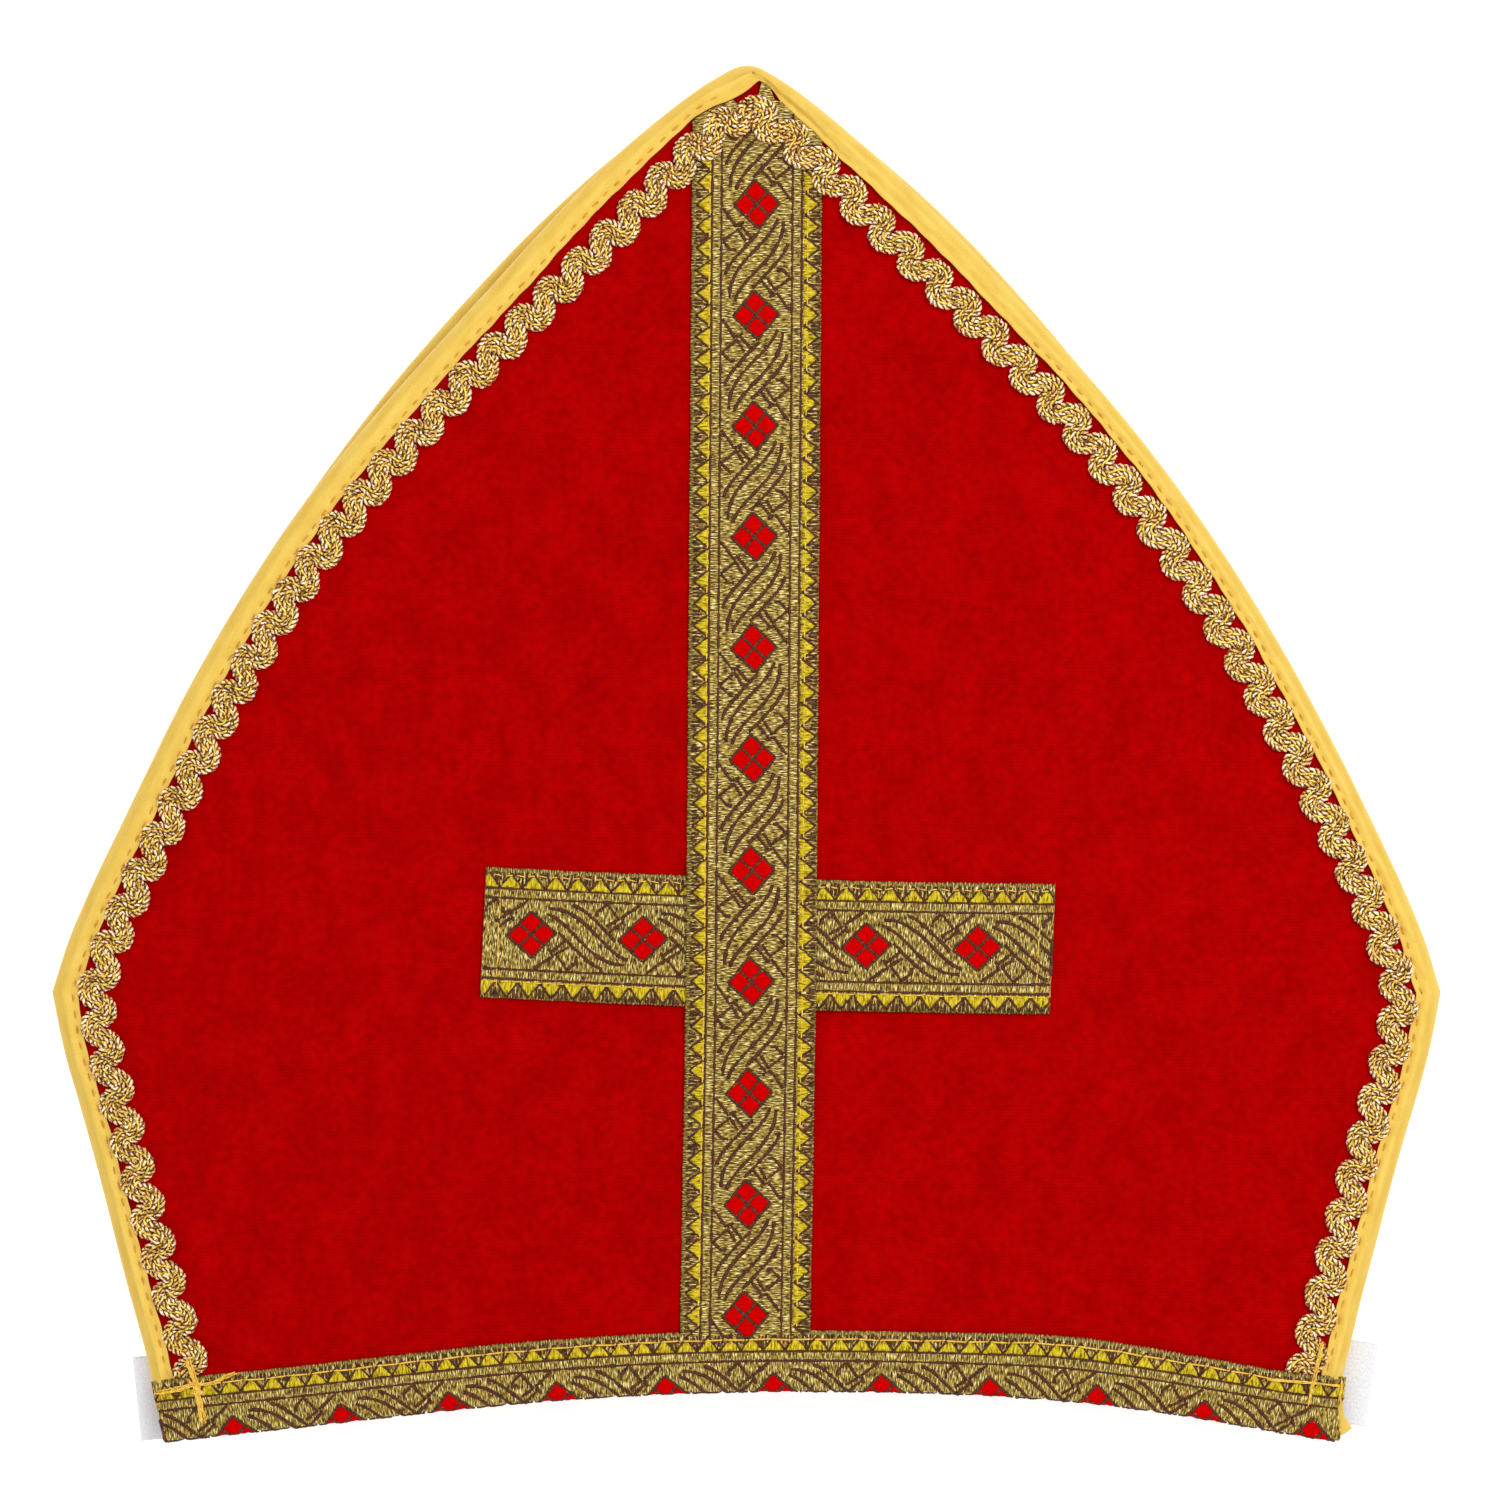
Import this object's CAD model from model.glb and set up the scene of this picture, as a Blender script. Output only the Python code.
# %% [markdown]
# # A bishop's mitre, laid flat
# A mitre is two stiff panels of one outline, bound at their edges and worn with a head
# between them. This one is red velvet with a gold galloon cross, a scroll gimp inside its
# yellow binding, and a galloon folded over each hem. The CAD frame says where every piece
# lies. This script makes how each piece looks.
#
# Lengths in this script are millimetres until a mesh is made: cloth is easier to think of so.

import bpy
import numpy as np
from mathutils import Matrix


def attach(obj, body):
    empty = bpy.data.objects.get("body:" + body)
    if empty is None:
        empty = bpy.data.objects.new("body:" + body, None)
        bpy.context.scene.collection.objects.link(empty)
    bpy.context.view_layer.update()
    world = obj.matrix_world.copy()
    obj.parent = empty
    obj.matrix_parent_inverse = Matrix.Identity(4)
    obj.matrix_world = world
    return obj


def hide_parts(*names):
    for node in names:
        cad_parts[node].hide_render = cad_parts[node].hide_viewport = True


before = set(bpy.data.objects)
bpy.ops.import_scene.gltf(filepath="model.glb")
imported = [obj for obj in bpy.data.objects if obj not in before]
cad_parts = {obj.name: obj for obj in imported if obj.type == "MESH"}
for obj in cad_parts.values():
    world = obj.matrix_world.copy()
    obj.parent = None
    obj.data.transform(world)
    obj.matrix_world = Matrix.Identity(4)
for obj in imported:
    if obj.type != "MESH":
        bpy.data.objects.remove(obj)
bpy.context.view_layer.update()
chance = np.random.default_rng(7)

# %% [markdown]
# ## The camera
# The mitre lies on a white table and is seen from straight above, from far off, so its
# outline is hardly foreshortened. A long lens does the same here.

# %% Camera straight above
scene = bpy.context.scene
VIEW_ACROSS = 0.3711  # metres of table in view, at the mitre's height
CAMERA_HEIGHT = 3.0
MITRE_LEVEL = 0.0095
SENSOR = 36
VIEW_MIDDLE = (0.00069, 0.00074)

camera_data = bpy.data.cameras.new("camera")
camera_data.sensor_width = SENSOR
camera_data.lens = SENSOR * (CAMERA_HEIGHT - MITRE_LEVEL) / VIEW_ACROSS
camera = bpy.data.objects.new("camera", camera_data)
camera.location = (*VIEW_MIDDLE, CAMERA_HEIGHT)
scene.collection.objects.link(camera)
scene.camera = camera
print("lens", round(camera_data.lens, 1), "mm")

# %% [markdown]
# ## The outline
# Both panels share one outline: an arched hem, two straight sides that widen to a corner,
# and two arcs that rise to the apex. A place on an edge is `at`, which runs 0 to 1 up the
# straight side and 1 to 2 round the arc, and `inset`, how far inside the outline it is.
# Every trim is laid out with these two numbers, so all of them follow the same edge.

# %% Sizes of the outline and of the cloth
HEM_Y = -170.0
HEIGHT = 340.0
WIDEST_HALF = 171.4
HEM_ARCH = 12.4
CORNER = np.array([171.4, -59.2])  # the side corner
RUN = np.array([25.9, 110.8]) / np.hypot(25.9, 110.8)  # direction of the straight side
OUT = np.array([RUN[1], -RUN[0]])
TIP = np.array([0.0, 171.7])
SIDE_BULGE = 22.8
APEX_CAP = 170.1  # the two arcs are cut off at this height,
APEX_SOFTNESS = 1.4  # and rounded into it

PANEL_FACE = 1.2  # heights above a panel's middle surface
TRIM_INNER = 1.5
TRIM_OUTER = 2.3
REAR_MIDDLE = 2.3
FRONT_MIDDLE = 7.2
PANEL_INSET = 1.1
HEM_LEG = 14.3
BOW_AT_HEM = 22.0
BOW_AT_APEX = 8.0

chord = TIP - CORNER
chord_out = np.array([chord[1], -chord[0]]) / np.hypot(*chord)
ARC_RADIUS = chord @ chord / (8 * SIDE_BULGE) + SIDE_BULGE / 2
ARC_CENTRE = (CORNER + TIP) / 2 + chord_out * (SIDE_BULGE - ARC_RADIUS)
print("arc radius", round(ARC_RADIUS, 1), "mm")


# %% Places along an edge
def straight_side(y, inset):
    """x of the straight side at height y: the inset corner, moved along the side's run."""
    start_x, start_y = CORNER[0] - OUT[0] * inset, CORNER[1] - OUT[1] * inset
    return start_x + (y - start_y) * RUN[0] / RUN[1]


# %% How the sewn hem and edges sway
HEM_SWAY_X = [-146, -126.7, -105.6, -78.2, -42.2, 3.2, 32.7, 67.1, 84.3, 107.8, 131.3, 146.2]
HEM_SWAY_Y = [-0.3, -1.2, -1.1, -0.9, -0.2, 1.2, 1.3, 1.6, 1.9, 1.5, -0.1, 0.1]
HEM_SWAY_END = 149.0
hem_sway = np.polynomial.Polynomial.fit(HEM_SWAY_X, HEM_SWAY_Y, 7)


def hem_line(x, rise):
    """Height of the line `rise` above the hem: a parabola that is HEM_ARCH high at x = 0, and
    on it the sway of the sewn hem, a smooth curve through a few measured offsets."""
    end = straight_side(HEM_Y + rise, 0)
    sway = hem_sway(np.clip(x, -HEM_SWAY_END, HEM_SWAY_END))
    return HEM_Y + rise + HEM_ARCH * (1 - (x / end) ** 2) + sway


# How far the sewn edge lies inside the drawn outline, at heights from the hem to the apex.
EDGE_Y = [-170, -152, -145, -135, -120, -105, -95, -85, -76, -66, -60, -46, -31,
          -17, -2, 13, 58, 72, 87, 102, 117, 132, 147, 162, 168]
EDGE_LEFT = [1.9, 1.9, 1.8, 1.2, 0.75, 0.45, 0.0, -0.5, -1.2, -1.1, -0.7, -1.3, -0.5,
             0.4, 0.6, 0.3, 0.1, 0.9, 1.7, 2.5, 2.3, 0.5, -1.5, -2.0, -1.2]
EDGE_RIGHT = [1.9, 1.9, 1.8, 1.8, 1.2, 0.8, 0.2, -0.5, -1.0, -0.9, -0.3, -1.1, -0.5,
              0.2, 0.5, 0.7, 0.6, 0.7, 1.0, 1.8, 1.6, 0.7, -0.5, -1.5, -1.0]
SWAY_FADE = 9.0  # how far from the middle line the sway dies away
fine_y = np.linspace(-200, 200, 401)
soften = np.hanning(19) / np.hanning(19).sum()
left_sway, right_sway = (
    np.convolve(np.interp(fine_y, EDGE_Y, values), soften, "same")
    for values in (EDGE_LEFT, EDGE_RIGHT)
)


def edge_sway(side, x, y):
    """The two tables above, smoothed, and dying away at the apex, where the edges meet."""
    inward = np.where(
        np.asarray(side) < 0, np.interp(y, fine_y, left_sway), np.interp(y, fine_y, right_sway)
    )
    return inward * np.clip(x / SWAY_FADE, 0, 1)


# %% A place on an edge
def edge_place(side, at, inset, rise=HEM_LEG + 0.3, fuller=0.0):
    """x and y of a place on an edge. Up to the corner it is a share of the straight side.
    Past it, it is an angle about the arc's centre, at the arc's radius less the inset, plus
    `fuller`. The lower of the arc and a level cap is taken, smoothly. `rise` is the height
    above the hem where the edge starts."""
    at, inset = np.broadcast_arrays(np.asarray(at, float), np.asarray(inset, float))
    start = CORNER - OUT * inset[..., None]
    reach = start - ARC_CENTRE
    half = reach @ RUN
    rest = (reach**2).sum(-1) - (ARC_RADIUS - inset) ** 2
    corner = start + RUN * (np.sqrt(half**2 - rest) - half)[..., None]
    foot_x = start[..., 0] + (HEM_Y + rise - start[..., 1]) * RUN[0] / RUN[1]
    foot_y = hem_line(foot_x, rise)
    foot_x = start[..., 0] + (foot_y - start[..., 1]) * RUN[0] / RUN[1]
    low = np.clip(at, -0.3, 1)
    x = foot_x + (corner[..., 0] - foot_x) * low
    y = foot_y + (corner[..., 1] - foot_y) * low
    radius = ARC_RADIUS - inset
    top_y = ARC_CENTRE[1] + np.sqrt(radius**2 - ARC_CENTRE[0] ** 2)
    first = np.arctan2(corner[..., 1] - ARC_CENTRE[1], corner[..., 0] - ARC_CENTRE[0])
    last = np.arctan2(top_y - ARC_CENTRE[1], -ARC_CENTRE[0])
    turn = first + (last - first) * (np.clip(at, 1, 2) - 1)
    arc_x = np.maximum(ARC_CENTRE[0] + (radius + fuller) * np.cos(turn), 0)
    arc_y = ARC_CENTRE[1] + (radius + fuller) * np.sin(turn)
    cap = APEX_CAP - inset
    arc_y = (arc_y + cap - np.sqrt((arc_y - cap) ** 2 + APEX_SOFTNESS)) / 2
    x, y = np.where(at > 1, arc_x, x), np.where(at > 1, arc_y, y)
    return side * (x - edge_sway(side, x, y)), y


# %% The bow, and points on a panel
def bow(x, y):
    """The front panel's bow: highest on the middle line, falling as a parabola to the sides,
    and more at the hem than at the apex."""
    share = (y - HEM_Y) / HEIGHT
    middle = BOW_AT_HEM + (BOW_AT_APEX - BOW_AT_HEM) * share
    return middle * (1 - (x / WIDEST_HALF) ** 2)


def lay(x, y, height, face="front"):
    """Points on a panel: x, y and a height above its middle surface. The front is bowed."""
    x, y, height = np.broadcast_arrays(x, y, height)
    z = FRONT_MIDDLE + height + bow(x, y) if face == "front" else REAR_MIDDLE + height
    return np.stack([x, y, z], -1)


# %% Smooth steps, bells and unevenness
def smoothstep(value, low, high):
    """0 below low, 1 above high, and a smooth 3t^2 - 2t^3 between them."""
    t = np.clip((value - low) / (high - low), 0, 1)
    return t * t * (3 - 2 * t)


def bell(value, middle, width):
    """1 at the middle, falling away as exp(-((value - middle) / width)^2)."""
    return np.exp(-(((value - middle) / width) ** 2))


def wander(along, seed, lengths=(7.0, 17.0, 41.0)):
    """A hand's unevenness, about -1 to 1: a sum of sines of these wavelengths, seeded."""
    phases = np.random.default_rng(seed).uniform(0, 6.28, len(lengths))
    waves = [np.sin(2 * np.pi * along / w + p) for w, p in zip(lengths, phases)]
    return sum(waves) / len(lengths)


corner_x, corner_y = edge_place(1, 1.0, 0.0)
apex_x, apex_y = edge_place(1, 2.0, 0.0)
print("side corner", float(corner_x), float(corner_y), "apex", float(apex_x), float(apex_y))

# %% [markdown]
# ## Turning numbers into meshes
# Each piece is a grid of points worked out as whole arrays, so a mesh is only its points
# and its faces. The helpers here put them into Blender at once. A closed mesh has a volume,
# and if the volume comes out negative the faces look inwards, so they are turned round.


# %% Mesh helpers
MM = 0.001  # a millimetre in metres


def quads(rows, columns, closed=False):
    """The faces of a grid of points, four corners each. A closed grid joins its last column
    to its first."""
    r, c = np.meshgrid(np.arange(rows - 1), np.arange(columns - (not closed)), indexing="ij")
    r, c = r.ravel(), c.ravel()
    corner_row = np.stack([r, r, r + 1, r + 1], 1)
    corner_column = np.stack([c, c + 1, c + 1, c], 1)
    return corner_row * columns + corner_column % columns


def piece(name, points, faces, materials, uv=None, kind=None, crest=None):
    """One named object from points in millimetres and lists of equal-sided faces. `uv` is
    per point, `kind` the material number per face, and `crest` a number per point."""
    points = points.reshape(-1, 3)
    kind = kind if kind is not None else [np.zeros(len(f), int) for f in faces]
    fans = [(f[:, 0], f[:, i], f[:, i + 1]) for f in faces for i in range(1, f.shape[1] - 1)]
    volume = sum((points[a] * np.cross(points[b], points[c])).sum() for a, b, c in fans)
    if volume < 0:
        faces = [f[:, ::-1] for f in faces]
    loops = np.concatenate([f.ravel() for f in faces]).astype(np.int32)
    totals = np.concatenate([np.full(len(f), f.shape[1]) for f in faces]).astype(np.int32)
    mesh = bpy.data.meshes.new(name)
    mesh.vertices.add(len(points))
    mesh.vertices.foreach_set("co", (points * MM).astype(np.float32).ravel())
    mesh.loops.add(len(loops))
    mesh.loops.foreach_set("vertex_index", loops)
    mesh.polygons.add(len(totals))
    starts = np.concatenate([[0], np.cumsum(totals)[:-1]]).astype(np.int32)
    mesh.polygons.foreach_set("loop_start", starts)
    mesh.polygons.foreach_set("loop_total", totals)
    mesh.polygons.foreach_set("material_index", np.concatenate(kind).astype(np.int32))
    mesh.polygons.foreach_set("use_smooth", np.ones(len(totals), bool))
    if uv is not None:
        layer = mesh.uv_layers.new(name="cloth")
        layer.data.foreach_set("uv", uv.reshape(-1, 2)[loops].astype(np.float32).ravel())
    if crest is not None:
        attribute = mesh.attributes.new("crest", "FLOAT", "POINT")
        attribute.data.foreach_set("value", crest.ravel().astype(np.float32))
    mesh.update(calc_edges=True)
    mesh.validate()
    for material in materials:
        mesh.materials.append(material)
    made = bpy.data.objects.new(name, mesh)
    scene.collection.objects.link(made)
    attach(made, "root")
    print(name, "has", int((totals - 2).sum()), "triangles")
    return made


# %% Slabs
def slab(face, back):
    """A closed sheet between two grids of the same size: both grids, and a rim round them.
    Returns the points, the faces, and which face each belongs to: 0 face, 1 back, 2 rim."""
    rows, columns = face.shape[:2]
    count = rows * columns
    top = quads(rows, columns)
    order = np.arange(count).reshape(rows, columns)
    loop = np.concatenate(
        [order[0, :-1], order[:-1, -1], order[-1, :0:-1], order[:0:-1, 0]]
    )
    after = np.roll(loop, -1)
    rim = np.stack([after, loop, loop + count, after + count], 1)
    points = np.concatenate([face.reshape(-1, 3), back.reshape(-1, 3)])
    kinds = np.concatenate([np.zeros(len(top)), np.ones(len(top)), np.full(len(rim), 2)])
    return points, np.concatenate([top, top[:, ::-1] + count, rim]), kinds.astype(int)


def slab_uv(across, along):
    """The UV of a slab, in metres: the same on its face and on its back."""
    uv = np.stack(np.broadcast_arrays(across, along), -1) * MM
    return np.stack([uv, uv])


# %% Cords
def cords(paths, radius, sides=6, flatness=1.0, ply=0.0, bead=1.0):
    """Closed round cords along paths of shape (cord, point, 3). A ring at each point is
    radius * (cos, flatness * sin) across and above the path. With `ply`, the radius swells
    and sinks by that share twice round the ring, and turns once every two beads, as a
    two-ply twist does, a little unevenly. Returns points, faces, uv and the height of the
    twist."""
    paths = np.asarray(paths, float)
    run = np.gradient(paths, axis=1)
    run /= np.maximum(np.linalg.norm(run, axis=-1, keepdims=True), 1e-9)
    side = np.stack([-run[..., 1], run[..., 0], np.zeros(run.shape[:2])], -1)
    side /= np.maximum(np.linalg.norm(side, axis=-1, keepdims=True), 1e-9)
    up = np.cross(run, side)
    steps = np.linalg.norm(np.diff(paths, axis=1), axis=-1)
    along = np.concatenate([np.zeros((len(paths), 1)), np.cumsum(steps, 1)], 1)
    angle = np.linspace(0, 2 * np.pi, sides, endpoint=False)
    turns = along + 0.24 * bead * wander(along, 23, (1.7, 3.1, 6.7))
    twist = np.cos(2 * angle - 2 * np.pi * turns[..., None] / bead)
    swell = (np.asarray(radius) * np.ones(paths.shape[:2]))[..., None] * (1 + ply * twist)
    ring = (
        paths[:, :, None]
        + (swell * np.cos(angle))[..., None] * side[:, :, None]
        + (swell * flatness * np.sin(angle))[..., None] * up[:, :, None]
    )
    count, length = paths.shape[:2]
    one = quads(length, sides, closed=True)
    offset = np.arange(count)[:, None, None] * length * sides
    walls = (one[None] + offset).reshape(-1, 4)
    first = np.arange(sides)[::-1][None] + offset[:, 0]
    last = np.arange(sides)[None] + (length - 1) * sides + offset[:, 0]
    uv = np.stack(np.broadcast_arrays(angle * 0.3, along[..., None]), -1) * MM
    return ring, [walls, np.concatenate([first, last])], uv, twist


def joined(name, meshes, material, crested=False):
    """Several sets of cords as one piece, with their UV, or, if crested, with the height of
    their twist instead."""
    offsets = np.cumsum([0] + [m[0].size // 3 for m in meshes[:-1]])
    points = np.concatenate([m[0].reshape(-1, 3) for m in meshes])
    faces = [f + offset for m, offset in zip(meshes, offsets) for f in m[1]]
    if crested:
        crest = np.concatenate([m[3].ravel() for m in meshes])
        return piece(name, points, faces, [material], crest=crest)
    uv = np.concatenate([m[2].reshape(-1, 2) for m in meshes])
    return piece(name, points, faces, [material], uv=uv)


# %% [markdown]
# ## Helpers for finishes
# A finish is a short chain of nodes: coordinates, one or two textures, a ramp that turns
# them to colour, and a bump. A few helpers keep each finish readable. Threads and plain
# cloths need one texture only, which gives both their colour and their bump.


# %% Node helpers
def finish(name, **settings):
    """A new material and its Principled shader, with constants set on the shader itself."""
    material = bpy.data.materials.new(name)
    material.use_nodes = True
    shader = material.node_tree.nodes["Principled BSDF"]
    for key, value in settings.items():
        shader.inputs[key.replace("_", " ")].default_value = value
    return material, shader


def node(material, kind, inputs=None, **settings):
    """Adds a node. An input is either a number to set or another node's output to link."""
    made = material.node_tree.nodes.new("ShaderNode" + kind)
    for key, value in settings.items():
        setattr(made, key, value)
    for key, value in (inputs or {}).items():
        if isinstance(value, bpy.types.NodeSocket):
            material.node_tree.links.new(value, made.inputs[key])
        else:
            made.inputs[key].default_value = value
    return made


EVEN = (1.0, 1.0, 1.0)


def texture_at(material, source, stretch, scale, detail):
    """Noise on Object or UV coordinates, stretched before it is read."""
    place = node(material, "TexCoord")
    mapping = node(material, "Mapping", {"Vector": place.outputs[source], "Scale": stretch})
    return node(
        material, "TexNoise", {"Vector": mapping.outputs[0], "Scale": scale, "Detail": detail}
    ).outputs[0]


def uv_across(material):
    """The first UV number, which is how far across a tape or braid a place is."""
    place = node(material, "TexCoord")
    return node(material, "SeparateXYZ", {"Vector": place.outputs["UV"]}).outputs[0]


def ramp(material, factor, stops):
    """Colours at positions along a factor."""
    made = node(material, "ValToRGB", {"Fac": factor})
    elements = made.color_ramp.elements
    while len(elements) < len(stops):
        elements.new(0.5)
    for element, (position, colour) in zip(elements, stops):
        element.position = position
        element.color = (*colour, 1)
    return made.outputs[0]


def mixed(material, factor, first, second, blend="MIX"):
    """One colour laid over another."""
    made = node(material, "Mix", data_type="RGBA", blend_type=blend)
    for socket, value in zip((made.inputs[0], made.inputs[6], made.inputs[7]),
                             (factor, first, second)):
        if isinstance(value, bpy.types.NodeSocket):
            material.node_tree.links.new(value, socket)
        else:
            socket.default_value = value
    return made.outputs[2]


def shaded(material, colour, *shades):
    """A colour multiplied by each shade in turn."""
    for shade in shades:
        colour = mixed(material, 1.0, colour, shade, "MULTIPLY")
    return colour


def bumped(material, shader, height, distance, strength):
    """Joins a height to the shader's normal, `distance` metres from low to high."""
    made = node(
        material, "Bump", {"Height": height, "Distance": distance, "Strength": strength}
    )
    material.node_tree.links.new(made.outputs[0], shader.inputs["Normal"])


def coloured(material, shader, colour):
    """Joins a colour to the shader."""
    material.node_tree.links.new(colour, shader.inputs["Base Color"])


def plain_finish(name, grain, stops, distance, strength, **settings):
    """A finish of one texture, whose source, stretch, scale and detail are in `grain`."""
    material, shader = finish(name, **settings)
    height = texture_at(material, *grain)
    coloured(material, shader, ramp(material, height, stops))
    bumped(material, shader, height, distance, strength)
    return material


# %% [markdown]
# ## Velvet
# Cotton velvet has a short dense pile. Where a hand has brushed it, the pile leans another
# way and looks lighter or darker, so the red is mottled, and the rows that it was woven in
# show as faint ribs. Colour alone gives the patches. Sheen gives the pile's light edge.

# %% The velvet and its backing
velvet, shader = finish(
    "velvet",
    Roughness=0.92,
    Specular_IOR_Level=0.0,
    Sheen_Weight=0.10,
    Sheen_Roughness=0.4,
    Sheen_Tint=(0.9, 0.005, 0.01, 1),
)
patches = texture_at(velvet, "Object", (1.0, 0.7, 1.0), 130, 5)
red = ramp(
    velvet,
    patches,
    [(0.30, (0.350, 0.0004, 0.0006)), (0.50, (0.392, 0.0004, 0.0007)),
     (0.72, (0.440, 0.0006, 0.0009))],
)
tufts = texture_at(velvet, "Object", EVEN, 520, 3)
tuft_shade = ramp(velvet, tufts, [(0.30, (0.86, 0.86, 0.86)), (0.70, (1.12, 1.12, 1.12))])
rib_place = node(velvet, "TexCoord")
ribs = node(
    velvet, "TexWave",
    {"Vector": rib_place.outputs["Object"], "Scale": 390.0, "Distortion": 1.2,
     "Detail": 2.0, "Detail Scale": 0.4},
    wave_type="BANDS", bands_direction="Y",
).outputs[1]
rib_shade = ramp(velvet, ribs, [(0.0, (0.95, 0.95, 0.95)), (1.0, (1.03, 1.03, 1.03))])
coloured(velvet, shader, shaded(velvet, red, tuft_shade, rib_shade))
RIBS_IN_PILE = 0.35
pile = mixed(velvet, RIBS_IN_PILE, tufts, ribs)
bumped(velvet, shader, pile, 0.0003, 0.4)

backing = plain_finish(
    "velvet_backing", ("Object", (1.0, 3.0, 1.0), 900, 2),
    [(0.3, (0.10, 0.004, 0.005)), (0.7, (0.21, 0.010, 0.011))],
    distance=0.0002, strength=0.6, Roughness=0.95, Specular_IOR_Level=0.1,
)

# %% [markdown]
# ## The two panels
# A panel is a stiffened sheet of velvet. Each row of its grid runs across from edge to edge,
# and its rows climb from the hem to the apex. The front is bowed; the rear lies flat with its
# velvet down. A few tenths of a millimetre of slack, dying away towards the trims that
# hold it, keep the sheet from looking like card.

# %% Panels
PANEL_ROWS = np.concatenate([np.linspace(0, 1, 44), np.linspace(1, 1.985, 100)[1:], [2.0]])
PANEL_COLUMNS = 130
PANEL_CORNER = 146  # x of the panel's foot, where the hem's sway has come to its end


def panel_rows(across, fuller):
    """x and y of a panel's grid: each row is a straight line between the two edges, and below
    the side corner it is lifted by the hem's arch and sway, which die away upwards."""
    at = PANEL_ROWS[:, None]
    right_x, right_y = edge_place(1, at, PANEL_INSET, PANEL_INSET, fuller(1, at))
    left_x, left_y = edge_place(-1, at, PANEL_INSET, PANEL_INSET, fuller(-1, at))
    share = (across + 1) / 2
    x = left_x + (right_x - left_x) * share
    y = left_y + (right_y - left_y) * share
    arch = HEM_ARCH * np.clip(1 - at, 0, 1) * (1 - across**2)
    left_end, right_end = hem_sway(-PANEL_CORNER), hem_sway(PANEL_CORNER)
    ends = left_end + (right_end - left_end) * share
    inner_x = np.clip(x, -PANEL_CORNER, PANEL_CORNER)
    sway = (hem_sway(inner_x) - ends) * np.clip(1 - 4 * at, 0, 1)
    return x, y + arch + sway


def no_fullness(side, at):
    """The front panel keeps to the outline."""
    return 0 * at


def rear_fullness(side, at):
    """How much fuller the rear panel is cut: a squared sine over part of each arc."""
    left = np.sin(np.pi * np.clip((at - 1.38) / 0.58, 0, 1)) ** 2
    right = np.sin(np.pi * np.clip((at - 1.50) / 0.48, 0, 1)) ** 2
    return np.where(np.asarray(side) < 0, 2.8 * left, 1.6 * right)


def slack(x, y):
    """Gentle unevenness of a stiffened sheet: three crossed long waves, in millimetres."""
    waves = np.sin(x / 23 + y / 31) + np.sin(x / 37 - y / 19 + 1) + np.sin(y / 43 + 2)
    return 0.10 * waves


def panel(name, face, fuller):
    """A closed sheet 2.4 mm thick, velvet outside and backing inside."""
    across = np.linspace(-1, 1, PANEL_COLUMNS)[None, :]
    x, y = panel_rows(across, fuller)
    hold = smoothstep(1 - np.abs(across), 0, 0.15)
    lift = slack(x, y) * hold * (1 if face == "front" else 0)
    points, faces, kinds = slab(
        lay(x, y, PANEL_FACE + lift, face), lay(x, y, -PANEL_FACE + lift, face)
    )
    inside = 1 if face == "front" else 0
    return piece(
        name, points, [faces], [velvet, backing],
        kind=[np.where(kinds == inside, 1, 0)],
    )


front_velvet = panel("front_velvet", "front", no_fullness)
rear_velvet = panel("rear_velvet", "rear", rear_fullness)
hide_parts("front_panel")
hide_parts("rear_panel")

# %% [markdown]
# ## The bias binding
# The raw edges are wrapped in a yellow cotton bias tape, folded over the edge and stitched
# down near its inner side. The tape is soft: it bulges between its fold and its stitches,
# each stitch pulls a small dimple, and its inner side wanders a little. It is one profile
# carried along the edge, with the width, the bulge and the dimples as functions of the length.

# %% The binding's cloth
tape, shader = finish(
    "binding_tape",
    Roughness=0.62,
    Specular_IOR_Level=0.25,
    Sheen_Weight=0.15,
    Sheen_Roughness=0.5,
)
tape_tone = texture_at(tape, "UV", (1.0, 0.25, 1.0), 420, 4)
tape_yarn = texture_at(tape, "UV", EVEN, 2600, 2)
straw = ramp(
    tape, tape_tone,
    [(0.25, (0.76, 0.47, 0.062)), (0.5, (0.82, 0.54, 0.085)), (0.75, (0.87, 0.60, 0.115))],
)
yarn_shade = ramp(tape, tape_yarn, [(0.3, (0.93, 0.93, 0.93)), (0.7, (1.05, 1.05, 1.05))])
worn = ramp(
    tape, node(tape, "MapRange", {"Value": uv_across(tape), "From Max": 0.008}).outputs[0],
    [(0.0, (0.97, 0.94, 0.86)), (0.10, (1.04, 1.03, 1.02)), (0.48, (1.06, 1.08, 1.12)),
     (0.62, (0.93, 0.92, 0.90))],
)
coloured(tape, shader, shaded(tape, straw, worn, yarn_shade))
bumped(tape, shader, tape_yarn, 0.00012, 0.5)

seam_thread = plain_finish(
    "seam_thread", ("Object", EVEN, 900, 2),
    [(0.35, (0.58, 0.24, 0.02)), (0.7, (0.82, 0.43, 0.05))],
    distance=0.0001, strength=0.5, Roughness=0.5, Specular_IOR_Level=0.3,
)


# %% Stations along both edges
def stations(step):
    """Places from the left foot over the apex to the right foot, about `step` apart, and
    the length run at each. Side, at and the run are arrays of one length."""
    fine = np.concatenate([np.linspace(0, 1, 400), np.linspace(1, 2, 1200)[1:]])
    x, y = edge_place(1, fine, 0.0)
    run = np.concatenate([[0], np.cumsum(np.hypot(np.diff(x), np.diff(y)))])
    count = int(run[-1] / step)
    even = np.linspace(0, run[-1], count)
    at = np.interp(even, run, fine)
    side = np.concatenate([-np.ones(count), np.ones(count - 1)])
    along = np.concatenate([even, run[-1] + even[1:]])
    return side, np.concatenate([at, at[-2::-1]]), along


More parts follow.
